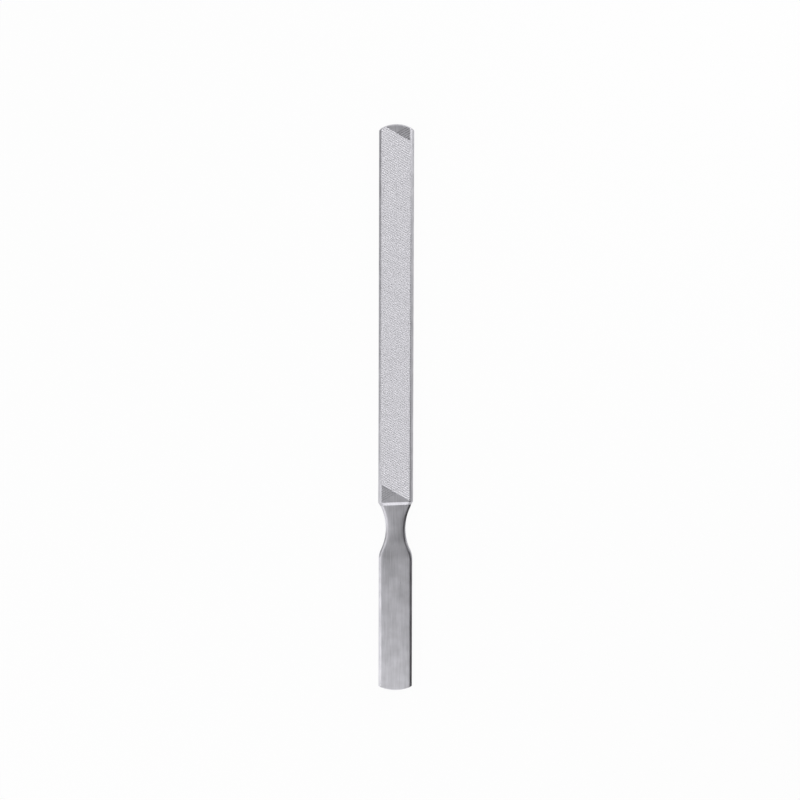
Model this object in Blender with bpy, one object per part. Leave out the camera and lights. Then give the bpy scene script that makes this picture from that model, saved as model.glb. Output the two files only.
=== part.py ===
"""Nail file in stainless steel, forged and ground from one bar.

The file lies on its back, tip towards +Y and the double-cut face up (+Z). The origin is
the centre of its footprint, on the surface that it lies on. Blade, neck and handle are one
loft, because the real file has no seam, and the teeth are cut into its own two faces.
"""

import math
from collections import namedtuple

import bmesh
import bpy
from mathutils import Vector

MM = 0.001

# Plan of the bar
OVERALL_LENGTH = 165.0 * MM
BLADE_LENGTH = 109.4 * MM
BLADE_WIDTH = 10.1 * MM
HANDLE_WIDTH = 9.8 * MM
WAIST_WIDTH = 5.75 * MM
NECK_RADIUS = 15.0 * MM
SHOULDER_RADIUS = 6.2 * MM
TIP_RADIUS = 9.0 * MM
BUTT_RADIUS = 11.5 * MM

# Thickness of the blade and the handle, and of the neck that is pressed thinner between them
BAR_THICKNESS = 3.0 * MM
NECK_THICKNESS = 1.8 * MM
NECK_CROWN = 0.12 * MM
HEEL_CHAMFER_LENGTH = 0.9 * MM

# The rounded bevel along the sides leans this much where it leaves the flat and meets the side
BLADE_BEVEL_WIDTH = 1.1 * MM
HANDLE_BEVEL_WIDTH = 0.95 * MM
BEVEL_HEIGHT_SHARE = 0.38
BEVEL_FIRST_LEAN = math.radians(4)
BEVEL_LAST_LEAN = math.radians(52)

# Rounding of the edge round the tip and round the handle's end
TIP_ROUND = 0.5 * MM
BUTT_ROUND = 0.3 * MM

# Teeth. The pitch is measured square to a row, and both cuts lean this far from straight across.
# A crest stands at this share of the way from the groove on its tip side to the next groove
TOOTH_PITCH = 0.6 * MM
CUT_ANGLE = math.radians(30)
TOOTH_DEPTH = 0.2 * MM
CREST_SHARE = 0.35
TEETH_FROM_TIP = 4.75 * MM
TEETH_FROM_HEEL = 0.45 * MM
GROOVE_RUN_OUT = 0.6 * MM

# The crossing cut starts and ends on lines of its own, here at mid width, so that two corners of
# the toothed stretch are left with long ridges
CROSSING_FROM_TIP = 2.65 * MM
CROSSING_FROM_HEEL = 2.7 * MM

# How finely the round stretches are faceted
BEVEL_SEGMENTS = 3
END_ROUND_SEGMENTS = 3
FACE_DIVISIONS = 8
NECK_SEGMENTS = 10
SHOULDER_SEGMENTS = 4

# Points nearer than this to a cut count as lying on it
SNAP = 0.01 * MM
SAME_PLANE_ANGLE = math.radians(0.1)
SHARP_ANGLE = math.radians(12)

STEEL_COLOUR = (0.60, 0.60, 0.62, 1.0)
STEEL_ROUGHNESS = 0.32

FRONT = 1
BACK = -1
MAIN_CUT = 1
CROSSING_CUT = -1
TIPWARD = 1
BUTTWARD = -1

tip_y = OVERALL_LENGTH / 2
butt_y = -OVERALL_LENGTH / 2
heel_y = tip_y - BLADE_LENGTH

blade_half_width = BLADE_WIDTH / 2
handle_half_width = HANDLE_WIDTH / 2
waist_half_width = WAIST_WIDTH / 2
face_half_width = blade_half_width - BLADE_BEVEL_WIDTH

bar_half_thickness = BAR_THICKNESS / 2
neck_half_thickness = NECK_THICKNESS / 2

# A section of the bar: its place at mid width, its half sizes, and the radius that bows it in plan
Station = namedtuple("Station", "y half_width half_thickness bow_radius")


def neck_layout():
    """Waist, start of the shoulder arc and start of the handle, from the arcs that join them."""
    rise_to_blade = blade_half_width - waist_half_width
    waist_y = heel_y - math.sqrt(NECK_RADIUS**2 - (NECK_RADIUS - rise_to_blade) ** 2)
    both_radii = NECK_RADIUS + SHOULDER_RADIUS
    turn = math.acos(1 - (handle_half_width - waist_half_width) / both_radii)
    shoulder_y = waist_y - NECK_RADIUS * math.sin(turn)
    handle_y = waist_y - both_radii * math.sin(turn)
    return waist_y, shoulder_y, handle_y


waist_y, shoulder_y, handle_y = neck_layout()


def half_width_at(y):
    """Half width of the plan between the two ends."""
    if y >= heel_y:
        return blade_half_width
    if y >= shoulder_y:
        return waist_half_width + bow(NECK_RADIUS, y - waist_y)
    if y >= handle_y:
        return handle_half_width - bow(SHOULDER_RADIUS, y - handle_y)
    return handle_half_width


def half_thickness_at(y):
    """Half thickness: level blade, heel chamfer, level neck, then an S-curve up to the handle."""
    chamfer_foot_y = heel_y - HEEL_CHAMFER_LENGTH
    if y >= chamfer_foot_y:
        swell = min(1.0, (y - chamfer_foot_y) / HEEL_CHAMFER_LENGTH)
    elif y >= waist_y:
        swell = 0.0
    else:
        rise_share = min(1.0, (waist_y - y) / (waist_y - handle_y))
        swell = (1 - math.cos(math.pi * rise_share)) / 2
    return neck_half_thickness + swell * (bar_half_thickness - neck_half_thickness)


def bow(radius, offset):
    """How far an arc has dropped from its crown, at this distance to the side."""
    return radius - math.sqrt(radius**2 - offset**2)


def end_stations(crown_y, outward, half_size, radius, edge_round):
    """Sections that round over the bowed end, from the full section out to the end wall."""
    half_width, half_thickness = half_size
    stations = []
    for step in range(END_ROUND_SEGMENTS + 1):
        turn = math.pi / 2 * step / END_ROUND_SEGMENTS
        inset = edge_round * (1 - math.cos(turn))
        reach = edge_round * (1 - math.sin(turn))
        y = crown_y - outward * reach
        stations.append(Station(y, half_width - inset, half_thickness - inset, outward * radius))
    return stations


def neck_stations():
    """Level sections from the heel down to the handle, close together where the plan curves."""
    places = [heel_y, heel_y - HEEL_CHAMFER_LENGTH]
    first_turn = math.asin((heel_y - HEEL_CHAMFER_LENGTH - waist_y) / NECK_RADIUS)
    last_turn = math.asin((shoulder_y - waist_y) / NECK_RADIUS)
    for step in range(1, NECK_SEGMENTS + 1):
        turn = first_turn + (last_turn - first_turn) * step / NECK_SEGMENTS
        places.append(waist_y + NECK_RADIUS * math.sin(turn))
    shoulder_turn = math.asin((shoulder_y - handle_y) / SHOULDER_RADIUS)
    for step in range(1, SHOULDER_SEGMENTS + 1):
        turn = shoulder_turn * (1 - step / SHOULDER_SEGMENTS)
        places.append(handle_y + SHOULDER_RADIUS * math.sin(turn))
    return [Station(y, half_width_at(y), half_thickness_at(y), 0.0) for y in places]


def bevel_points():
    """Shares of the bevel's width and height at its points, on an arc from flat to side."""
    first, last = BEVEL_FIRST_LEAN, BEVEL_LAST_LEAN
    points = []
    for step in range(1, BEVEL_SEGMENTS + 1):
        lean = first + (last - first) * step / BEVEL_SEGMENTS
        out = (math.sin(lean) - math.sin(first)) / (math.sin(last) - math.sin(first))
        down = (math.cos(first) - math.cos(lean)) / (math.cos(first) - math.cos(last))
        points.append((out, down))
    return points


def section_points(station):
    """Points round one section: front face left to right, then the back face right to left.
    The thin neck's faces are slightly crowned."""
    bevel_width = BLADE_BEVEL_WIDTH if station.y >= heel_y else HANDLE_BEVEL_WIDTH
    flat_half_width = station.half_width - bevel_width
    crown = 0.0
    if not station.bow_radius:
        thinned = bar_half_thickness - station.half_thickness
        crown = NECK_CROWN * thinned / (bar_half_thickness - neck_half_thickness)
    front = []
    for step in range(FACE_DIVISIONS + 1):
        share = 2 * step / FACE_DIVISIONS - 1
        front.append((flat_half_width * share, station.half_thickness - crown * share**2))
    edge_z = station.half_thickness - crown
    for out, down in bevel_points():
        x = flat_half_width + bevel_width * out
        z = edge_z * (1 - BEVEL_HEIGHT_SHARE * down)
        front.append((x, z))
        front.insert(0, (-x, z))
    back = [(x, -z) for x, z in reversed(front)]
    return front + back


def bowed_ring(mesh, station):
    """One ring of the loft, bowed in plan where it belongs to an end."""
    ring = []
    for x, z in section_points(station):
        y = station.y
        if station.bow_radius:
            drop = bow(abs(station.bow_radius), x)
            y -= math.copysign(drop, station.bow_radius)
        ring.append(mesh.verts.new((x, y, z)))
    return ring


def loft(mesh, stations):
    """Skins the rings, and closes each end with strips from the front edge to the back edge."""
    rings = [bowed_ring(mesh, station) for station in stations]
    for near, far in zip(rings, rings[1:]):
        for i, corner in enumerate(near):
            mesh.faces.new((near[i - 1], corner, far[i], far[i - 1]))
    for ring in (rings[0], rings[-1]):
        for i in range(len(ring) // 2 - 1):
            mesh.faces.new((ring[i], ring[i + 1], ring[-i - 2], ring[-i - 1]))
    bmesh.ops.recalc_face_normals(mesh, faces=mesh.faces)
    bmesh.ops.dissolve_limit(
        mesh,
        angle_limit=SAME_PLANE_ANGLE,
        verts=mesh.verts,
        edges=mesh.edges,
    )


class Cut:
    """Where the rows of one blade face lie. The pitch and angle are nudged so that rows
    start and end on the toothed stretch's own ends and both cuts meet on the face's sides."""

    def __init__(self, side):
        self.side = side
        self.level = side * bar_half_thickness
        self.start_y = tip_y - TEETH_FROM_TIP
        self.end_y = heel_y + TEETH_FROM_HEEL
        wanted_step = TOOTH_PITCH / math.cos(CUT_ANGLE)
        self.rows = round((self.start_y - self.end_y) / wanted_step)
        self.step = (self.start_y - self.end_y) / self.rows
        crossing = 4 * face_half_width
        crossings = round(crossing * math.tan(CUT_ANGLE) / self.step)
        self.slope = crossings * self.step / crossing
        self.first_crossing = round(self.crossing_row(0.0, tip_y - CROSSING_FROM_TIP))
        self.last_crossing = round(self.crossing_row(0.0, heel_y + CROSSING_FROM_HEEL))

    def row_y(self, x, row):
        """Where a row of the main cut is at this x. Rows start at the side edge."""
        edge_x = self.side * face_half_width
        return self.start_y - row * self.step - (x - edge_x) * self.slope * self.side

    def crossing_row(self, x, y):
        """The row of the crossing cut, or the place between two rows, at this point."""
        return (self.start_y - y + (x * self.side - face_half_width) * self.slope) / self.step

    def on_flat(self, face):
        """Whether a face of the mesh is part of the blade's flat on this side."""
        if any(abs(corner.co.z - self.level) > SNAP for corner in face.verts):
            return False
        return face.calc_center_median().y > heel_y

    def in_teeth(self, face):
        """Whether a face of the mesh lies in the toothed stretch."""
        middle = face.calc_center_median()
        last, first = (self.row_y(middle.x, row) for row in (self.rows, 0))
        return self.on_flat(face) and last < middle.y < first

    def in_crossing(self, face):
        """Whether both cuts run over a face of the mesh."""
        if self.side == BACK or not self.in_teeth(face):
            return False
        middle = face.calc_center_median()
        row = self.crossing_row(middle.x, middle.y)
        return self.first_crossing < row < self.last_crossing

    def in_ridges(self, face):
        """Whether only the main cut runs over a face of the mesh."""
        return self.in_teeth(face) and not self.in_crossing(face)

    def score(self, mesh, row, lean, wanted):
        """Cuts the wanted faces along one row, and returns the points on the cut."""
        row_start = (self.side * face_half_width, self.start_y - row * self.step, self.level)
        across_row = (lean * self.side * self.slope, 1.0, 0.0)
        return slice_faces(mesh, wanted, row_start, across_row)

    def ends_groove(self, point):
        """Whether a long groove between two ridges meets a side of the flat at this point."""
        if abs(abs(point.co.x) - face_half_width) > SNAP:
            return False
        grooves = [edge for edge in point.link_edges if all(map(self.in_ridges, edge.link_faces))]
        return any(groove.calc_length() > 2 * GROOVE_RUN_OUT for groove in grooves)

    def mark_rows(self, mesh):
        """Scores the rows of both cuts, and the end rows of each before the rows between."""
        for row in (0, self.rows):
            self.score(mesh, row, MAIN_CUT, self.on_flat)
        for row in range(1, self.rows):
            self.score(mesh, row, MAIN_CUT, self.in_teeth)
        if self.side == FRONT:
            for row in (self.first_crossing, self.last_crossing):
                self.score(mesh, row, CROSSING_CUT, self.in_teeth)
            for row in range(self.first_crossing + 1, self.last_crossing):
                self.score(mesh, row, CROSSING_CUT, self.in_crossing)


def slice_faces(mesh, wanted, plane_point, plane_normal):
    """Cuts the wanted faces along a plane, and returns the points on the cut."""
    faces = [face for face in mesh.faces if wanted(face)]
    edges = dict.fromkeys(edge for face in faces for edge in face.edges)
    points = dict.fromkeys(point for face in faces for point in face.verts)
    result = bmesh.ops.bisect_plane(
        mesh,
        geom=[*faces, *edges, *points],
        dist=SNAP,
        plane_co=plane_point,
        plane_no=plane_normal,
    )
    return [item for item in result["geom_cut"] if isinstance(item, bmesh.types.BMVert)]


def inside(face_test, points):
    """The points that have no face beside them but those that pass the test."""
    return [point for point in points if all(map(face_test, point.link_faces))]


def cut_teeth(mesh, cut):
    """Sinks the grooves of one blade face. The main cut alone leaves long ridges, and where the
    crossing cut runs over it too there are pointed teeth. Crests and points stay in the flat's
    plane."""
    cut.mark_rows(mesh)
    groove_points = inside(cut.in_teeth, mesh.verts)
    groove_ends = [point for point in mesh.verts if cut.ends_groove(point)]
    for row in range(cut.rows):
        cut.score(mesh, row + CREST_SHARE, MAIN_CUT, cut.in_ridges)
    diamonds = [face for face in mesh.faces if cut.in_crossing(face)]
    tooth_points = bmesh.ops.poke(mesh, faces=diamonds, center_mode="MEAN")["verts"]
    for point in tooth_points:
        lean_tooth(point)
    for groove_end in groove_ends:
        close_groove_end(cut, groove_end)
    for point in groove_points:
        point.co.z -= cut.side * TOOTH_DEPTH
    for groove_end in groove_ends:
        draw_in = -math.copysign(GROOVE_RUN_OUT, groove_end.co.x)
        along_y = -draw_in * cut.slope * cut.side
        groove_end.co += Vector((draw_in, along_y, -cut.side * TOOTH_DEPTH))


def lean_tooth(point):
    """Moves a tooth's point from its middle towards the tooth's own corner nearest the tip."""
    corners = [edge.other_vert(point) for edge in point.link_edges]
    tipmost = max(corners, key=lambda corner: corner.co.y)
    point.co = point.co.lerp(tipmost.co, 1 - 2 * CREST_SHARE)


def close_groove_end(cut, groove_end):
    """Parts a sliver from the side bevel, which becomes the slope down into the groove."""
    bevel = next(face for face in groove_end.link_faces if not cut.in_teeth(face))
    corners = [
        edge.other_vert(groove_end)
        for edge in groove_end.link_edges
        if bevel in edge.link_faces
    ]
    bmesh.utils.face_split(bevel, *corners)


def satin_steel():
    """Ground and satin-finished stainless steel."""
    material = bpy.data.materials.new("satin_steel")
    material.use_nodes = True
    shader = material.node_tree.nodes["Principled BSDF"]
    shader.inputs["Base Color"].default_value = STEEL_COLOUR
    shader.inputs["Metallic"].default_value = 1.0
    shader.inputs["Roughness"].default_value = STEEL_ROUGHNESS
    return material


def build_file():
    """The whole file as one closed body, centred on its own mid thickness."""
    blade_size = (blade_half_width, bar_half_thickness)
    handle_size = (handle_half_width, bar_half_thickness)
    tip = end_stations(tip_y, TIPWARD, blade_size, TIP_RADIUS, TIP_ROUND)
    butt = end_stations(butt_y, BUTTWARD, handle_size, BUTT_RADIUS, BUTT_ROUND)
    mesh = bmesh.new()
    loft(mesh, [*reversed(tip), *neck_stations(), *butt])
    cut_teeth(mesh, Cut(FRONT))
    cut_teeth(mesh, Cut(BACK))
    data = bpy.data.meshes.new("nail_file")
    mesh.to_mesh(data)
    mesh.free()
    data.shade_smooth()
    data.set_sharp_from_angle(angle=SHARP_ANGLE)
    return data


def clear_scene():
    for old in list(bpy.data.objects):
        bpy.data.objects.remove(old)


def main():
    clear_scene()
    collection = bpy.data.collections.new("nail_file")
    bpy.context.scene.collection.children.link(collection)
    nail_file = bpy.data.objects.new("nail_file", build_file())
    nail_file.data.materials.append(satin_steel())
    nail_file.location.z = bar_half_thickness
    collection.objects.link(nail_file)


main()
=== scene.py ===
"""Looks of the stainless steel nail file: the ground bar, its cut teeth, the steel and the light.

Everything is in the file's own frame: +Y towards the tip, +Z out of the double-cut face, and
z = 0 on the surface that the file lies on.
"""

import math
from collections import namedtuple

import bmesh
import bpy
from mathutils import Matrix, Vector, interpolate
from mathutils.bvhtree import BVHTree


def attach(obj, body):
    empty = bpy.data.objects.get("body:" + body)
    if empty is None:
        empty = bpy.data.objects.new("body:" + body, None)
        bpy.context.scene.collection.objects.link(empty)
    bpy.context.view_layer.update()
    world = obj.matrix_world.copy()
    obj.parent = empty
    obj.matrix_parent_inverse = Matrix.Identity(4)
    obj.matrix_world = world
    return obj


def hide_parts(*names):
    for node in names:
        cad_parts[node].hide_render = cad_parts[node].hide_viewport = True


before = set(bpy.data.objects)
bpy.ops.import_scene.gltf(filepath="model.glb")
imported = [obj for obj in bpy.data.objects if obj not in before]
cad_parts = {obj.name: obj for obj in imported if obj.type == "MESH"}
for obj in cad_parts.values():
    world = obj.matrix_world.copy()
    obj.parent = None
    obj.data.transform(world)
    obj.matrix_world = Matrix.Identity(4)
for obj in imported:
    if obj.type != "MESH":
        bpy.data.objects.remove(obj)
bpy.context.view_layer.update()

MM = 0.001

# Plan of the bar
OVERALL_LENGTH = 165.0 * MM
BLADE_LENGTH = 109.4 * MM
BLADE_WIDTH = 10.1 * MM
HANDLE_WIDTH = 9.8 * MM
WAIST_WIDTH = 5.75 * MM
NECK_RADIUS = 15.0 * MM
SHOULDER_RADIUS = 6.2 * MM
TIP_RADIUS = 9.0 * MM
BUTT_RADIUS = 11.5 * MM

# Thickness of the blade and the handle, and of the neck that is pressed thinner between them. The
# neck's faces fall by its crown from the middle to the sides
BAR_THICKNESS = 3.0 * MM
NECK_THICKNESS = 1.8 * MM
NECK_CROWN = 0.12 * MM

# The slope ground at the heel, and how far its lines climb for each millimetre to the right
HEEL_CHAMFER_LENGTH = 0.9 * MM
HEEL_SKEW = 0.04

# The rounded bevels along the sides, and how much they lean where they leave the flat and where
# they meet the side. The blade's right one is ground wider
Bevel = namedtuple("Bevel", "width first_lean last_lean")
BLADE_LEFT_BEVEL = Bevel(0.95 * MM, math.radians(16), math.radians(52))
BLADE_RIGHT_BEVEL = Bevel(1.22 * MM, math.radians(14), math.radians(50))
HANDLE_BEVEL = Bevel(0.95 * MM, math.radians(3), math.radians(37))

# How far the handle's flats fall to their edges, and the rounding of the edge round each end
HANDLE_CROWN = 0.05 * MM
TIP_ROUND = 0.5 * MM
BUTT_ROUND = 0.3 * MM

# Teeth, laid out between two lines this far in from the blade's sides. The first and the last
# main row meet the right one of these lines this far from the tip and from the heel
ROWS_FROM_SIDES = 1.1 * MM
TOOTH_PITCH = 0.6 * MM
CUT_ANGLE = math.radians(30)
TEETH_FROM_TIP = 4.75 * MM
TEETH_FROM_HEEL = 0.45 * MM
MAIN_CUT_DEPTH = 0.15 * MM
CROSSING_CUT_DEPTH = 0.055 * MM

# A crest stands at this share of the way from the groove on its tip side to the next one. It stops
# this share of a tooth short of the crossing grooves, and lies this far under the uncut face
CREST_SHARE = 0.32
CREST_START_SHARE = 0.3
CREST_DROP = 0.015 * MM

# How far the solids that cut the teeth reach past the blade's sides and above the teeth
CUTTER_OVERHANG = 0.6 * MM
CUTTER_HEIGHT = 0.6 * MM

# The crossing cut starts and ends on lines of its own, this far from the tip and the heel at mid
# width, and leaves light strokes on the two uncut corners
CROSSING_FROM_TIP = 2.65 * MM
CROSSING_FROM_HEEL = 2.7 * MM
STROKE_DEPTH = 0.04 * MM
STROKE_WIDTH = 0.2 * MM
STROKE_LENGTH = 8.0 * MM
STROKE_COUNT = 9

# How finely the round stretches and the faces are divided
BEVEL_SEGMENTS = 8
END_ROUND_SEGMENTS = 10
FACE_DIVISIONS = 20
NECK_SEGMENTS = 36
SHOULDER_SEGMENTS = 14

# Points this near are one point, faces this near to one plane are one face, and faces that meet
# at more than the last angle have a sharp edge
MERGE_DISTANCE = 0.001 * MM
SAME_PLANE_ANGLE = math.radians(0.05)
SHARP_ANGLE = math.radians(11)

# A ground corner is shaded as the uncut bar is, this share of the way in to its face's middle.
# Where the normals blended there come out shorter than this, the flat face's own is taken
INWARD_SHARE = 0.001
SHORTEST_BLEND = 0.5

tip_y = OVERALL_LENGTH / 2
butt_y = -OVERALL_LENGTH / 2
heel_y = tip_y - BLADE_LENGTH
blade_middle_y = tip_y - BLADE_LENGTH / 2
blade_half_width = BLADE_WIDTH / 2
handle_half_width = HANDLE_WIDTH / 2
waist_half_width = WAIST_WIDTH / 2
face_half_width = blade_half_width - ROWS_FROM_SIDES
bar_half_thickness = BAR_THICKNESS / 2
neck_half_thickness = NECK_THICKNESS / 2

Station = namedtuple("Station", "y half_width half_thickness bow_radius skew")


def finished_mesh(mesh, name):
    """The mesh that Blender keeps, from one that was being built."""
    data = bpy.data.meshes.new(name)
    mesh.to_mesh(data)
    mesh.free()
    return data


def new_object(name, data):
    thing = bpy.data.objects.new(name, data)
    bpy.context.scene.collection.objects.link(thing)
    return thing


def evaluated_mesh(thing):
    """A plain mesh of the object with its modifiers applied."""
    graph = bpy.context.evaluated_depsgraph_get()
    return bpy.data.meshes.new_from_object(thing.evaluated_get(graph))


# The ground bar


def neck_layout():
    """Waist, start of the shoulder arc and start of the handle, from the arcs that join them."""
    rise_to_blade = blade_half_width - waist_half_width
    waist_y = heel_y - math.sqrt(NECK_RADIUS**2 - (NECK_RADIUS - rise_to_blade) ** 2)
    both_radii = NECK_RADIUS + SHOULDER_RADIUS
    turn = math.acos(1 - (handle_half_width - waist_half_width) / both_radii)
    shoulder_y = waist_y - NECK_RADIUS * math.sin(turn)
    handle_y = waist_y - both_radii * math.sin(turn)
    return waist_y, shoulder_y, handle_y


waist_y, shoulder_y, handle_y = neck_layout()


def bow(radius, offset):
    """How far an arc has dropped from its crown, at this distance to the side."""
    return radius - math.sqrt(radius**2 - offset**2)


def half_width_at(y):
    if y >= heel_y:
        return blade_half_width
    if y >= shoulder_y:
        return waist_half_width + bow(NECK_RADIUS, y - waist_y)
    if y >= handle_y:
        return handle_half_width - bow(SHOULDER_RADIUS, y - handle_y)
    return handle_half_width


def half_thickness_at(y):
    """Half thickness: level blade, heel chamfer, level neck, then an S-curve up to the handle."""
    chamfer_foot_y = heel_y - HEEL_CHAMFER_LENGTH
    if y >= chamfer_foot_y:
        swell = min(1.0, (y - chamfer_foot_y) / HEEL_CHAMFER_LENGTH)
    elif y >= waist_y:
        swell = 0.0
    else:
        rise_share = min(1.0, (waist_y - y) / (waist_y - handle_y))
        swell = (1 - math.cos(math.pi * rise_share)) / 2
    return neck_half_thickness + swell * (bar_half_thickness - neck_half_thickness)


def end_stations(crown_y, outward, half_width, radius, edge_round):
    """Sections that round over a bowed end, from the full section out to the end wall."""
    stations = []
    for step in range(END_ROUND_SEGMENTS + 1):
        turn = math.pi / 2 * step / END_ROUND_SEGMENTS
        inset = edge_round * (1 - math.cos(turn))
        y = crown_y - outward * edge_round * (1 - math.sin(turn))
        size = (half_width - inset, bar_half_thickness - inset)
        stations.append(Station(y, *size, outward * radius, 0.0))
    return stations


def neck_stations():
    """Level sections from the heel down to the handle, close together where the plan curves."""
    chamfer_foot_y = heel_y - HEEL_CHAMFER_LENGTH
    stations = [
        Station(y, half_width_at(y), half_thickness_at(y), 0.0, HEEL_SKEW)
        for y in (heel_y, chamfer_foot_y)
    ]
    first_turn = math.asin((chamfer_foot_y - waist_y) / NECK_RADIUS)
    last_turn = math.asin((shoulder_y - waist_y) / NECK_RADIUS)
    places = []
    for step in range(1, NECK_SEGMENTS + 1):
        turn = first_turn + (last_turn - first_turn) * step / NECK_SEGMENTS
        places.append(waist_y + NECK_RADIUS * math.sin(turn))
    shoulder_turn = math.asin((shoulder_y - handle_y) / SHOULDER_RADIUS)
    for step in range(1, SHOULDER_SEGMENTS + 1):
        turn = shoulder_turn * (1 - step / SHOULDER_SEGMENTS)
        places.append(handle_y + SHOULDER_RADIUS * math.sin(turn))
    for y in places:
        stations.append(Station(y, half_width_at(y), half_thickness_at(y), 0.0, 0.0))
    return stations


def bevel_steps(bevel):
    """How far out and down each point of a bevel's arc lies from the flat's edge."""
    first, last = bevel.first_lean, bevel.last_lean
    radius = bevel.width / (math.sin(last) - math.sin(first))
    steps = []
    for step in range(1, BEVEL_SEGMENTS + 1):
        lean = first + (last - first) * step / BEVEL_SEGMENTS
        out = radius * (math.sin(lean) - math.sin(first))
        down = radius * (math.cos(first) - math.cos(lean))
        steps.append((out, down))
    return steps


def section_points(station):
    """Points round one section: front face left to right, then the back face right to left."""
    on_blade = station.y >= heel_y
    left_bevel = BLADE_LEFT_BEVEL if on_blade else HANDLE_BEVEL
    right_bevel = BLADE_RIGHT_BEVEL if on_blade else HANDLE_BEVEL
    left = left_bevel.width - station.half_width
    right = station.half_width - right_bevel.width
    thinning = (bar_half_thickness - station.half_thickness) / (
        bar_half_thickness - neck_half_thickness
    )
    crown = 0.0 if station.bow_radius else NECK_CROWN * thinning
    roll_off = 0.0 if on_blade else HANDLE_CROWN * min(1.0, 1.0 - thinning)
    face = []
    for step in range(FACE_DIVISIONS + 1):
        share = 2 * step / FACE_DIVISIONS - 1
        x = (left + right) / 2 + share * (right - left) / 2
        face.append((x, station.half_thickness - crown * share**2 - roll_off * share**4))
    edge_z = face[0][1]
    left_side = [(left - out, edge_z - down) for out, down in bevel_steps(left_bevel)]
    right_side = [(right + out, edge_z - down) for out, down in bevel_steps(right_bevel)]
    front = left_side[::-1] + face + right_side
    return front + [(x, -z) for x, z in reversed(front)]


def ring(mesh, station):
    """One ring of the bar, bowed in plan where it belongs to an end."""
    points = []
    for x, z in section_points(station):
        y = station.y + station.skew * x
        if station.bow_radius:
            y -= math.copysign(bow(abs(station.bow_radius), x), station.bow_radius)
        points.append(mesh.verts.new((x, y, z + bar_half_thickness)))
    return points


def ground_bar():
    """The whole bar before any tooth is cut, as one smooth closed body."""
    tip = end_stations(tip_y, 1, blade_half_width, TIP_RADIUS, TIP_ROUND)
    butt = end_stations(butt_y, -1, handle_half_width, BUTT_RADIUS, BUTT_ROUND)
    mesh = bmesh.new()
    rings = [ring(mesh, station) for station in (*reversed(tip), *neck_stations(), *butt)]
    for near, far in zip(rings, rings[1:]):
        for i, corner in enumerate(near):
            mesh.faces.new((near[i - 1], corner, far[i], far[i - 1]))
    for end in (rings[0], rings[-1]):
        for i in range(len(end) // 2 - 1):
            mesh.faces.new((end[i], end[i + 1], end[-i - 2], end[-i - 1]))
    bmesh.ops.recalc_face_normals(mesh, faces=mesh.faces)
    bmesh.ops.dissolve_limit(
        mesh, angle_limit=SAME_PLANE_ANGLE, verts=mesh.verts, edges=mesh.edges
    )
    return finished_mesh(mesh, "ground_bar")


# The teeth

# The rows lean as near to the cut's angle as fits a whole number of half teeth in between the two
# lines
start_y = tip_y - TEETH_FROM_TIP
end_y = heel_y + TEETH_FROM_HEEL
row_count = round((start_y - end_y) / (TOOTH_PITCH / math.cos(CUT_ANGLE)))
row_step = (start_y - end_y) / row_count
half_teeth_across = round(4 * face_half_width * math.tan(CUT_ANGLE) / row_step)
cut_slope = half_teeth_across * row_step / (4 * face_half_width)
tooth_width = row_step / cut_slope


def tooth_tile():
    """One tooth of the double cut in plan: a diamond between two grooves of each cut."""
    mesh = bmesh.new()
    main_share = mesh.verts.layers.float.new("main_share")
    crossing_share = mesh.verts.layers.float.new("crossing_share")
    along = Vector((tooth_width / 2, -row_step / 2, 0))
    across = Vector((-tooth_width / 2, -row_step / 2, 0))

    def point(along_share, across_share, in_main, in_crossing):
        vert = mesh.verts.new(along * along_share + across * across_share)
        vert[main_share] = in_main
        vert[crossing_share] = in_crossing
        return vert

    tip_left, tip_right = (point(a, 0, 1, 1) for a in (0, 1))
    left, right = (point(a, CREST_SHARE, 0, 1) for a in (0, 1))
    crest_left = point(CREST_START_SHARE, CREST_SHARE, 0, 0)
    crest_right = point(1 - CREST_START_SHARE, CREST_SHARE, 0, 0)
    heel_left, heel_right = (point(a, 1, 1, 1) for a in (0, 1))
    for corners in (
        (tip_left, left, crest_left),
        (tip_left, crest_left, crest_right, tip_right),
        (tip_right, crest_right, right),
        (left, heel_left, crest_left),
        (crest_left, heel_left, heel_right, crest_right),
        (crest_right, heel_right, right),
    ):
        mesh.faces.new(corners)
    return finished_mesh(mesh, "tooth_tile")


def ridge_tile(length):
    """One ridge of the single cut in plan, right across the blade."""
    mesh = bmesh.new()
    main_share = mesh.verts.layers.float.new("main_share")
    mesh.verts.layers.float.new("crossing_share")
    along = Vector((length, -length * cut_slope, 0))
    across = Vector((0, -row_step, 0))
    rows = []
    for share, in_main in ((0, 1), (CREST_SHARE, 0), (1, 1)):
        row = [mesh.verts.new(along * end + across * share) for end in (0, 1)]
        for vert in row:
            vert[main_share] = in_main
        rows.append(row)
    for upper, lower in zip(rows, rows[1:]):
        mesh.faces.new((upper[0], lower[0], lower[1], upper[1]))
    return finished_mesh(mesh, "ridge_tile")


class Tree:
    """A node tree that is written one calculation to a line."""

    def __init__(self, tree):
        self.tree = tree

    def node(self, kind, inputs=None, **settings):
        node = self.tree.nodes.new(kind)
        for name, value in settings.items():
            setattr(node, name, value)
        for key, value in (inputs or {}).items():
            if isinstance(value, bpy.types.NodeSocket):
                self.tree.links.new(value, node.inputs[key])
            else:
                node.inputs[key].default_value = value
        return node

    def math(self, operation, first, second=0.0, third=0.0):
        values = {0: first, 1: second, 2: third}
        return self.node("ShaderNodeMath", values, operation=operation).outputs[0]

    def shares(self, value, start, end):
        """0 where the value is at its start or below, 1 at its end or above."""
        values = {"Value": value, "From Min": start, "From Max": end}
        return self.node("ShaderNodeMapRange", values).outputs[0]


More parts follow.
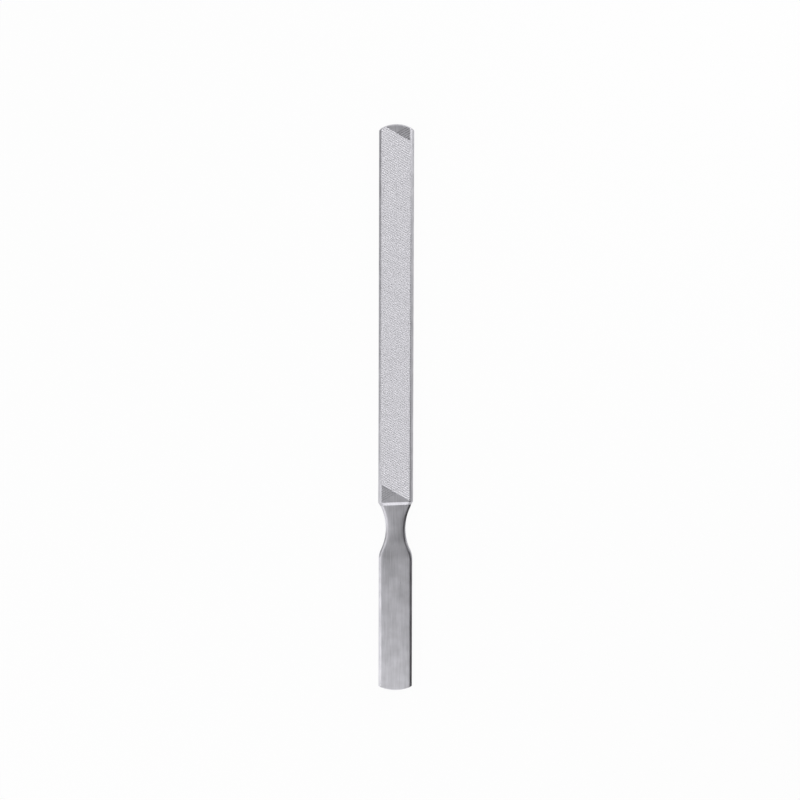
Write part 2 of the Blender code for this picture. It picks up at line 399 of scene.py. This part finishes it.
def teeth_tree():
    """Repeats a tile along a row and down the blade, then sinks its grooves."""
    group = bpy.data.node_groups.new("cut_teeth", "GeometryNodeTree")
    sockets = {}
    for name, kind in (
        ("Tile", "NodeSocketGeometry"),
        ("Tiles in a row", "NodeSocketInt"),
        ("Tile step", "NodeSocketVector"),
        ("Rows", "NodeSocketInt"),
        ("Row step", "NodeSocketVector"),
        ("First point", "NodeSocketVector"),
        ("Slope", "NodeSocketFloat"),
        ("Main depth", "NodeSocketFloat"),
        ("Crossing depth", "NodeSocketFloat"),
        ("Crossing from", "NodeSocketFloat"),
        ("Crossing to", "NodeSocketFloat"),
        ("Steel", "NodeSocketMaterial"),
    ):
        socket = group.interface.new_socket(name=name, in_out="INPUT", socket_type=kind)
        sockets[name] = socket.identifier
    group.interface.new_socket(name="Teeth", in_out="OUTPUT", socket_type="NodeSocketGeometry")
    tree = Tree(group)
    given = tree.node("NodeGroupInput").outputs

    row_line = tree.node(
        "GeometryNodeMeshLine",
        {"Count": given["Tiles in a row"], "Offset": given["Tile step"]},
        mode="OFFSET",
    )
    row = tree.node(
        "GeometryNodeInstanceOnPoints",
        {"Points": row_line.outputs[0], "Instance": given["Tile"]},
    )
    blade_line = tree.node(
        "GeometryNodeMeshLine",
        {
            "Count": given["Rows"],
            "Start Location": given["First point"],
            "Offset": given["Row step"],
        },
        mode="OFFSET",
    )
    rows = tree.node(
        "GeometryNodeInstanceOnPoints",
        {"Points": blade_line.outputs[0], "Instance": row.outputs[0]},
    )
    realized = tree.node("GeometryNodeRealizeInstances", {"Geometry": rows.outputs[0]})

    place = tree.node("GeometryNodeInputPosition").outputs[0]
    xyz = tree.node("ShaderNodeSeparateXYZ", {"Vector": place}).outputs
    drift = tree.math("MULTIPLY", xyz["X"], given["Slope"])
    crossing_line = tree.math("SUBTRACT", xyz["Y"], drift)
    above = tree.math("LESS_THAN", crossing_line, given["Crossing from"])
    below = tree.math("GREATER_THAN", crossing_line, given["Crossing to"])
    crossed = tree.math("MULTIPLY", above, below)
    shares = [
        tree.node("GeometryNodeInputNamedAttribute", {"Name": name}).outputs["Attribute"]
        for name in ("main_share", "crossing_share")
    ]
    main = tree.math("MULTIPLY", shares[0], given["Main depth"])
    crossing = tree.math("MULTIPLY", shares[1], given["Crossing depth"])
    depth = tree.math("MAXIMUM", main, tree.math("MULTIPLY", crossing, crossed))
    drop = tree.math("MULTIPLY", depth, -1.0)
    offset = tree.node("ShaderNodeCombineXYZ", {"Z": drop}).outputs[0]
    sunk = tree.node(
        "GeometryNodeSetPosition", {"Geometry": realized.outputs[0], "Offset": offset}
    )
    steel = tree.node(
        "GeometryNodeSetMaterial", {"Geometry": sunk.outputs[0], "Material": given["Steel"]}
    )
    tree.node("NodeGroupOutput", {"Teeth": steel.outputs[0]})
    return group, sockets


def cut_surface(tile, name, values):
    """The surface that a cut leaves, as a plain mesh."""
    group, sockets = teeth_tree()
    teeth = new_object(name, tile)
    modifier = teeth.modifiers.new("cut_teeth", "NODES")
    modifier.node_group = group
    for socket_name, value in values.items():
        modifier[sockets[socket_name]] = value
    data = evaluated_mesh(teeth)
    bpy.data.objects.remove(teeth)
    return data


def close_cutter(data, side):
    """Walls and a lid over the cut surface, outside the blade, make it a solid to subtract."""
    mesh = bmesh.new()
    mesh.from_mesh(data)
    bmesh.ops.remove_doubles(mesh, verts=mesh.verts, dist=MERGE_DISTANCE)
    rim = [edge for edge in mesh.edges if edge.is_boundary]
    walls = bmesh.ops.extrude_edge_only(mesh, edges=rim)["geom"]
    top = [item for item in walls if isinstance(item, bmesh.types.BMVert)]
    for vert in top:
        vert.co.z = CUTTER_HEIGHT
    lid_edges = [edge for edge in mesh.edges if edge.is_boundary]
    bmesh.ops.contextual_create(mesh, geom=lid_edges)
    for vert in mesh.verts:
        vert.co.z = bar_half_thickness + side * (bar_half_thickness - CREST_DROP + vert.co.z)
        vert.co.x *= side
    bmesh.ops.recalc_face_normals(mesh, faces=mesh.faces)
    return finished_mesh(mesh, data.name)


def front_cutter(steel):
    """The double cut, whose crossing cut starts and ends on lines of its own."""
    reach = blade_half_width + CUTTER_OVERHANG
    tiles = math.ceil(2 * reach / (tooth_width / 2))
    reach = tiles * tooth_width / 4
    first_y = start_y + (reach + face_half_width) * cut_slope
    data = cut_surface(
        tooth_tile(),
        "front_cutter",
        {
            "Tiles in a row": tiles,
            "Tile step": (tooth_width / 2, -row_step / 2, 0),
            "Rows": row_count,
            "Row step": (0, -row_step, 0),
            "First point": (-reach, first_y, 0),
            "Slope": cut_slope,
            "Main depth": MAIN_CUT_DEPTH,
            "Crossing depth": CROSSING_CUT_DEPTH,
            "Crossing from": tip_y - CROSSING_FROM_TIP,
            "Crossing to": heel_y + CROSSING_FROM_HEEL,
            "Steel": steel,
        },
    )
    return close_cutter(data, 1)


def back_cutter(steel):
    """The single cut of the back face."""
    reach = blade_half_width + CUTTER_OVERHANG
    first_y = start_y + (reach + face_half_width) * cut_slope
    data = cut_surface(
        ridge_tile(2 * reach),
        "back_cutter",
        {
            "Tiles in a row": 1,
            "Tile step": (0, 0, 0),
            "Rows": row_count,
            "Row step": (0, -row_step, 0),
            "First point": (-reach, first_y, 0),
            "Slope": cut_slope,
            "Main depth": MAIN_CUT_DEPTH,
            "Steel": steel,
        },
    )
    return close_cutter(data, -1)


def stroke_tile(reach):
    """The solid that one light stroke of the crossing cut takes away, from its start outwards."""
    mesh = bmesh.new()
    along = Vector((reach, reach * cut_slope, 0)).normalized()
    side = Vector((-along.y, along.x, 0))
    above = 1 + CUTTER_HEIGHT / STROKE_DEPTH
    section = [
        Vector((0, 0, -STROKE_DEPTH)),
        side * STROKE_WIDTH / 2 * above + Vector((0, 0, CUTTER_HEIGHT)),
        -side * STROKE_WIDTH / 2 * above + Vector((0, 0, CUTTER_HEIGHT)),
    ]
    ends = [[mesh.verts.new(corner + along * far) for corner in section] for far in (0, abs(reach))]
    for i in range(len(section)):
        mesh.faces.new((ends[0][i - 1], ends[0][i], ends[1][i], ends[1][i - 1]))
    for end in ends:
        mesh.faces.new(end)
    bmesh.ops.recalc_face_normals(mesh, faces=mesh.faces)
    return finished_mesh(mesh, "stroke_tile")


def corner_strokes(name, reach, row, crossing_start, steel):
    """Light strokes that start on one end row of the main cut and run out at the side."""
    main_line = start_y + face_half_width * cut_slope - row * row_step
    first_x = (main_line - crossing_start) / (2 * cut_slope)
    outward = math.copysign(1.0, reach)
    return cut_surface(
        stroke_tile(reach),
        name,
        {
            "Tiles in a row": STROKE_COUNT,
            "Tile step": (outward * tooth_width / 2, -outward * row_step / 2, 0),
            "Rows": 1,
            "Row step": (0, 0, 0),
            "First point": (first_x, main_line - first_x * cut_slope, BAR_THICKNESS),
            "Slope": cut_slope,
            "Steel": steel,
        },
    )


def cut_file(steel):
    """The finished file: the ground bar with the teeth of both faces cut out of it."""
    bar = new_object("nail_file_steel", ground_bar())
    bar.data.materials.append(steel)
    bar.data.shade_smooth()
    bar.data.set_sharp_from_angle(angle=SHARP_ANGLE)
    weighting = bar.modifiers.new("flats_stay_flat", "WEIGHTED_NORMAL")
    weighting.keep_sharp = True
    smooth_bar = evaluated_mesh(bar)
    bar.modifiers.clear()

    tool_mark = bpy.data.materials.new("tool_mark")
    light_mark = bpy.data.materials.new("light_mark")
    bar.data.materials.append(tool_mark)
    bar.data.materials.append(light_mark)
    tip_strokes = corner_strokes(
        "tip_strokes", STROKE_LENGTH, 0, tip_y - CROSSING_FROM_TIP, light_mark
    )
    heel_strokes = corner_strokes(
        "heel_strokes", -STROKE_LENGTH, row_count, heel_y + CROSSING_FROM_HEEL, light_mark
    )
    cuts = (front_cutter(tool_mark), back_cutter(tool_mark), tip_strokes, heel_strokes)
    cutters = [new_object(data.name, data) for data in cuts]
    for cutter in cutters:
        boolean = bar.modifiers.new(cutter.name, "BOOLEAN")
        boolean.object = cutter
        boolean.solver = "EXACT"
        boolean.material_mode = "TRANSFER"
    data = evaluated_mesh(bar)
    bar.modifiers.clear()
    bar.data = data
    for cutter in cutters:
        bpy.data.objects.remove(cutter)
    mark_cut_faces(data)
    shade_like(data, smooth_bar)
    bpy.data.materials.remove(tool_mark)
    bpy.data.materials.remove(light_mark)
    bpy.data.meshes.remove(smooth_bar)
    return bar


def mark_cut_faces(data):
    """Keeps which faces the cutters left, as attributes for the steel, and drops their slots."""
    for mark in ("tool_mark", "light_mark"):
        data.attributes.new(mark, "FLOAT", "CORNER")
    for face in data.polygons:
        if face.material_index > 0:
            marks = data.attributes[data.materials[face.material_index].name].data
            for corner in face.loop_indices:
                marks[corner].value = 1.0
        face.material_index = 0
    while len(data.materials) > 1:
        data.materials.pop()


def shade_like(data, smooth_bar):
    """Teeth keep flat facets, and the rest takes the normals of the bar before it was cut."""
    ground = [face.vertices[:] for face in smooth_bar.polygons]
    places = [point.co.copy() for point in smooth_bar.vertices]
    corners = [corner.vector.copy() for corner in smooth_bar.corner_normals]
    nearest = BVHTree.FromPolygons(places, ground)
    cut, stroked = (data.attributes[mark].data for mark in ("tool_mark", "light_mark"))
    normals = [Vector()] * len(data.loops)
    for face in data.polygons:
        for corner in face.loop_indices:
            if cut[corner].value + stroked[corner].value > 0:
                normals[corner] = face.normal.copy()
                continue
            place = data.vertices[data.loops[corner].vertex_index].co
            inward = place.lerp(face.center, INWARD_SHARE)
            spot, flat_normal, index, _ = nearest.find_nearest(inward)
            outline = [places[i] for i in ground[index]]
            weights = interpolate.poly_3d_calc(outline, spot)
            blend = Vector()
            for loop, weight in zip(smooth_bar.polygons[index].loop_indices, weights):
                blend += corners[loop] * weight
            blended_well = blend.length > SHORTEST_BLEND
            normals[corner] = blend.normalized() if blended_well else flat_normal
    data.shade_smooth()
    data.normals_split_custom_set(normals)


# The steel

# The ground steel goes from dark to light in fine lines and soft clouds, over this stretch of
# their mean, of which the lines are this share
GROUND_STEEL_DARK = (0.432, 0.428, 0.454, 1)
GROUND_STEEL_LIGHT = (0.668, 0.661, 0.7, 1)
TONE_RANGE = (0.3, 0.7)
LINES_SHARE = 0.5

# Repeats to a metre, for the lines across the file, along it and through it, and for the clouds,
# and how often finer detail is laid over each
GRINDING_LINES = (3500, 150, 3500)
LINES_DETAIL = 3.0
CLOUDS = 260.0
CLOUDS_DETAIL = 2.0

# The cut steel goes from a painted shade colour down in its grooves to a painted highlight colour
# on its crests, and has about this share of the crests' on average. The light strokes have a colour
# of their own
PAINTED_SHADE_GROOVE_STEEL = (0.68, 0.674, 0.707, 1)
PAINTED_HIGHLIGHT_CREST_STEEL = (0.98, 0.972, 1.0, 1)
MEAN_PAINTED_HIGHLIGHT_SHARE = 0.35
STROKED_STEEL = (0.36, 0.355, 0.378, 1)

# Over this middle share of the blade's length, the cut steel's painted shade and painted highlight
# differ from their average by only this share of what they do at the blade's two ends
MIDDLE_SHARE = 0.3
MIDDLE_PAINTED_SHADE_CONTRAST = 0.3

# The roughness of the ground and of the cut steel, how far the grinding lines swing it either way,
# and the bump that they give
GROUND_ROUGHNESS = 0.3
CUT_ROUGHNESS = 0.68
ROUGHNESS_SWING = 0.05
BUMP_STRENGTH = 0.15
BUMP_HEIGHT = 0.01 * MM


def satin_steel():
    """Satin-ground stainless steel. The cut teeth are rougher, with a painted highlight on their
    crests and painted shade down in the grooves."""
    material = bpy.data.materials.new("satin_ground_steel")
    material.use_nodes = True
    tree = Tree(material.node_tree)
    links = material.node_tree.links
    shader = material.node_tree.nodes["Principled BSDF"]
    shader.inputs["Metallic"].default_value = 1.0

    place = tree.node("ShaderNodeTexCoord").outputs["Object"]
    cut, stroked = (
        tree.node("ShaderNodeAttribute", attribute_name=mark).outputs["Fac"]
        for mark in ("tool_mark", "light_mark")
    )
    lines_place = tree.node("ShaderNodeMapping", {"Vector": place, "Scale": GRINDING_LINES})
    lines = tree.node(
        "ShaderNodeTexNoise",
        {"Vector": lines_place.outputs[0], "Scale": 1.0, "Detail": LINES_DETAIL},
    ).outputs[0]
    clouds = tree.node(
        "ShaderNodeTexNoise", {"Vector": place, "Scale": CLOUDS, "Detail": CLOUDS_DETAIL}
    ).outputs[0]
    lines_tone = tree.math("MULTIPLY", lines, LINES_SHARE)
    clouds_tone = tree.math("MULTIPLY", clouds, 1 - LINES_SHARE)
    ground = tree.node("ShaderNodeValToRGB", {"Fac": tree.math("ADD", lines_tone, clouds_tone)})
    for element, place_on_ramp, colour in zip(
        ground.color_ramp.elements, TONE_RANGE, (GROUND_STEEL_DARK, GROUND_STEEL_LIGHT)
    ):
        element.position = place_on_ramp
        element.color = colour
    xyz = tree.node("ShaderNodeSeparateXYZ", {"Vector": place}).outputs
    # Painted highlight and painted shade: the teeth's colour is lighter towards the crests and
    # darker down in the grooves, by height alone
    height = tree.math("ABSOLUTE", tree.math("SUBTRACT", xyz["Z"], bar_half_thickness))
    from_middle = tree.math("ABSOLUTE", tree.math("SUBTRACT", xyz["Y"], blade_middle_y))
    painted_highlight_share = tree.shares(height, bar_half_thickness - MAIN_CUT_DEPTH, bar_half_thickness)
    # The painted shade and painted highlight of the teeth are weaker over the blade's middle
    painted_shade_contrast = tree.shares(from_middle, MIDDLE_SHARE * BLADE_LENGTH / 2, BLADE_LENGTH / 2)
    painted_shade_contrast = tree.math("MULTIPLY_ADD", painted_shade_contrast, 1 - MIDDLE_PAINTED_SHADE_CONTRAST, MIDDLE_PAINTED_SHADE_CONTRAST)
    painted_highlight_share = tree.math("SUBTRACT", painted_highlight_share, MEAN_PAINTED_HIGHLIGHT_SHARE)
    painted_highlight_share = tree.math("MULTIPLY_ADD", painted_highlight_share, painted_shade_contrast, MEAN_PAINTED_HIGHLIGHT_SHARE)
    # The teeth's colour, with painted shade in the grooves and a painted highlight on the crests
    teeth = tree.node(
        "ShaderNodeMix", {"Factor": painted_highlight_share, "A": PAINTED_SHADE_GROOVE_STEEL, "B": PAINTED_HIGHLIGHT_CREST_STEEL}, data_type="RGBA"
    )
    colour = ground.outputs[0]
    for mark, steel_colour in ((cut, teeth.outputs["Result"]), (stroked, STROKED_STEEL)):
        mix = tree.node(
            "ShaderNodeMix", {"Factor": mark, "A": colour, "B": steel_colour}, data_type="RGBA"
        )
        colour = mix.outputs["Result"]
    links.new(colour, shader.inputs["Base Color"])
    extra = tree.math("MULTIPLY", cut, CUT_ROUGHNESS - GROUND_ROUGHNESS)
    smoothest = tree.math("ADD", extra, GROUND_ROUGHNESS - ROUGHNESS_SWING)
    swing = tree.math("MULTIPLY", lines, 2 * ROUGHNESS_SWING)
    links.new(tree.math("ADD", swing, smoothest), shader.inputs["Roughness"])
    bump = tree.node(
        "ShaderNodeBump", {"Height": lines, "Strength": BUMP_STRENGTH, "Distance": BUMP_HEIGHT}
    )
    links.new(bump.outputs[0], shader.inputs["Normal"])
    return material


# Floor, light and camera

WHITE = (1, 1, 1, 1)
BLACK = (0, 0, 0, 1)

# The floor shows this share of plain white to the camera and to reflections. The rest is its own
# pale colour, which takes the file's shadow
FLOOR_SIZE = 4.0
FLOOR_TONE = 0.92
FLOOR_WHITE_SHARE = 0.95

# The lens and its sensor in millimetres, and the other lengths in metres
CAMERA_LENS = 85.0
SENSOR_WIDTH = 36.0
CLIP_START = 0.01
CAMERA_DISTANCE = 0.5498
CAMERA_TILT = math.radians(4.485)
CAMERA_ROLL = math.radians(0.165)
AIM = Vector((1.19 * MM, 2.93 * MM, 1.5 * MM))


def pale_floor():
    bpy.ops.mesh.primitive_plane_add(size=FLOOR_SIZE)
    floor = bpy.context.active_object
    floor.name = "floor"
    material = bpy.data.materials.new("pale_floor")
    material.use_nodes = True
    tree = Tree(material.node_tree)
    shader = material.node_tree.nodes["Principled BSDF"]
    shader.inputs["Base Color"].default_value = (FLOOR_TONE, FLOOR_TONE, FLOOR_TONE, 1.0)
    shader.inputs["Roughness"].default_value = 1.0
    rays = tree.node("ShaderNodeLightPath").outputs
    seen = tree.math("MAXIMUM", rays["Is Camera Ray"], rays["Is Glossy Ray"])
    seen = tree.math("MAXIMUM", seen, rays["Is Transmission Ray"])
    white = tree.node("ShaderNodeEmission", {"Color": WHITE, "Strength": 1.0})
    white_share = tree.math("MULTIPLY", seen, FLOOR_WHITE_SHARE)
    mix = tree.node(
        "ShaderNodeMixShader", {0: white_share, 1: shader.outputs[0], 2: white.outputs[0]}
    )
    output = material.node_tree.nodes["Material Output"]
    material.node_tree.links.new(mix.outputs[0], output.inputs["Surface"])
    floor.data.materials.append(material)
    return floor


def soft_panel(name, place, aim, size, brightness):
    """A soft light of this size, whose face is as bright as white paper at brightness 1."""
    data = bpy.data.lights.new(name, "AREA")
    data.shape = "RECTANGLE"
    data.size, data.size_y = size
    data.energy = brightness * math.pi * size[0] * size[1]
    panel = new_object(name, data)
    panel.location = place
    panel.rotation_euler = (Vector(aim) - Vector(place)).to_track_quat("-Z", "Y").to_euler()


# Soft panels round the file: where each hangs, what it faces, its size, and its brightness, which
# was fitted to the greys of the steel in the photo and then rounded
PANELS = (
    ("over_butt", (0, -0.6, 1.2), (0, -0.6, 0), (0.6, 0.6), 0.38),
    ("over_blade", (0, 0, 1.2), (0, 0, 0), (0.6, 0.6), 0.45),
    ("over_tip", (0, 0.6, 1.2), (0, 0.6, 0), (0.6, 0.6), 1.0),
    ("over_left_butt", (-0.6, -0.6, 1.2), (-0.6, -0.6, 0), (0.6, 0.6), 0.49),
    ("over_left", (-0.6, 0, 1.2), (-0.6, 0, 0), (0.6, 0.6), 0.91),
    ("over_left_tip", (-0.6, 0.6, 1.2), (-0.6, 0.6, 0), (0.6, 0.6), 0.94),
    ("left_low_butt", (-0.4, -0.25, 0.15), (0, -0.05, 0), (0.4, 0.28), 1.07),
    ("left_low_middle", (-0.4, 0, 0.15), (0, 0, 0), (0.25, 0.28), 0.45),
    ("left_high_butt", (-0.45, -0.25, 0.5), (0, -0.05, 0), (0.4, 0.35), 1.13),
    ("left_high_tip", (-0.45, 0.25, 0.5), (0, 0.05, 0), (0.4, 0.35), 0.97),
    ("butt_low", (0, -0.45, 0.15), (0, -0.05, 0), (0.3, 0.28), 1.65),
    ("butt_low_left", (-0.28, -0.42, 0.15), (0, -0.05, 0), (0.26, 0.28), 0.71),
    ("butt_near", (0, -0.3, 0.35), (0, -0.05, 0), (0.5, 0.25), 0.48),
    ("butt_strip", (0, -0.22, 0.45), (0, -0.1, 0), (0.5, 0.12), 0.58),
    ("right_low_middle", (0.4, 0, 0.15), (0, 0, 0), (0.25, 0.28), 0.77),
    ("right_near_tip", (0.22, 0.16, 0.09), (0, 0.06, 0), (0.2, 0.15), 0.5),
    ("right_high_tip", (0.156, 0.144, 0.18), (0, 0.07, 0), (0.15, 0.12), 1.6),
    ("tip_low", (0, 0.45, 0.15), (0, 0.05, 0), (0.3, 0.28), 1.23),
    ("tip_low_left", (-0.28, 0.42, 0.15), (0, 0.05, 0), (0.26, 0.28), 0.62),
    ("tip_low_right", (0.28, 0.42, 0.15), (0, 0.05, 0), (0.26, 0.28), 2.37),
)


def studio_light():
    world = bpy.data.worlds.new("studio")
    bpy.context.scene.world = world
    world.use_nodes = True
    tree = Tree(world.node_tree)
    surroundings = world.node_tree.nodes["Background"]
    surroundings.inputs["Color"].default_value = BLACK
    white = tree.node("ShaderNodeBackground", {"Color": WHITE, "Strength": 1.0})
    seen = tree.node("ShaderNodeLightPath").outputs["Is Camera Ray"]
    mix = tree.node(
        "ShaderNodeMixShader", {0: seen, 1: surroundings.outputs[0], 2: white.outputs[0]}
    )
    output = world.node_tree.nodes["World Output"]
    world.node_tree.links.new(mix.outputs[0], output.inputs["Surface"])
    for panel in PANELS:
        soft_panel(*panel)


def look_down():
    """Almost straight down, with the tip a little nearer the lens than the handle."""
    data = bpy.data.cameras.new("camera")
    data.lens = CAMERA_LENS
    data.sensor_width = SENSOR_WIDTH
    data.clip_start = CLIP_START
    camera = new_object("camera", data)
    camera.rotation_euler = (-CAMERA_TILT, 0, CAMERA_ROLL)
    backwards = camera.rotation_euler.to_matrix() @ Vector((0, 0, 1))
    camera.location = AIM + backwards * CAMERA_DISTANCE
    bpy.context.scene.camera = camera


steel = satin_steel()
nail_file = cut_file(steel)
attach(nail_file, "root")
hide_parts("nail_file")
pale_floor()
studio_light()
look_down()

bpy.context.scene.view_settings.view_transform = "Standard"
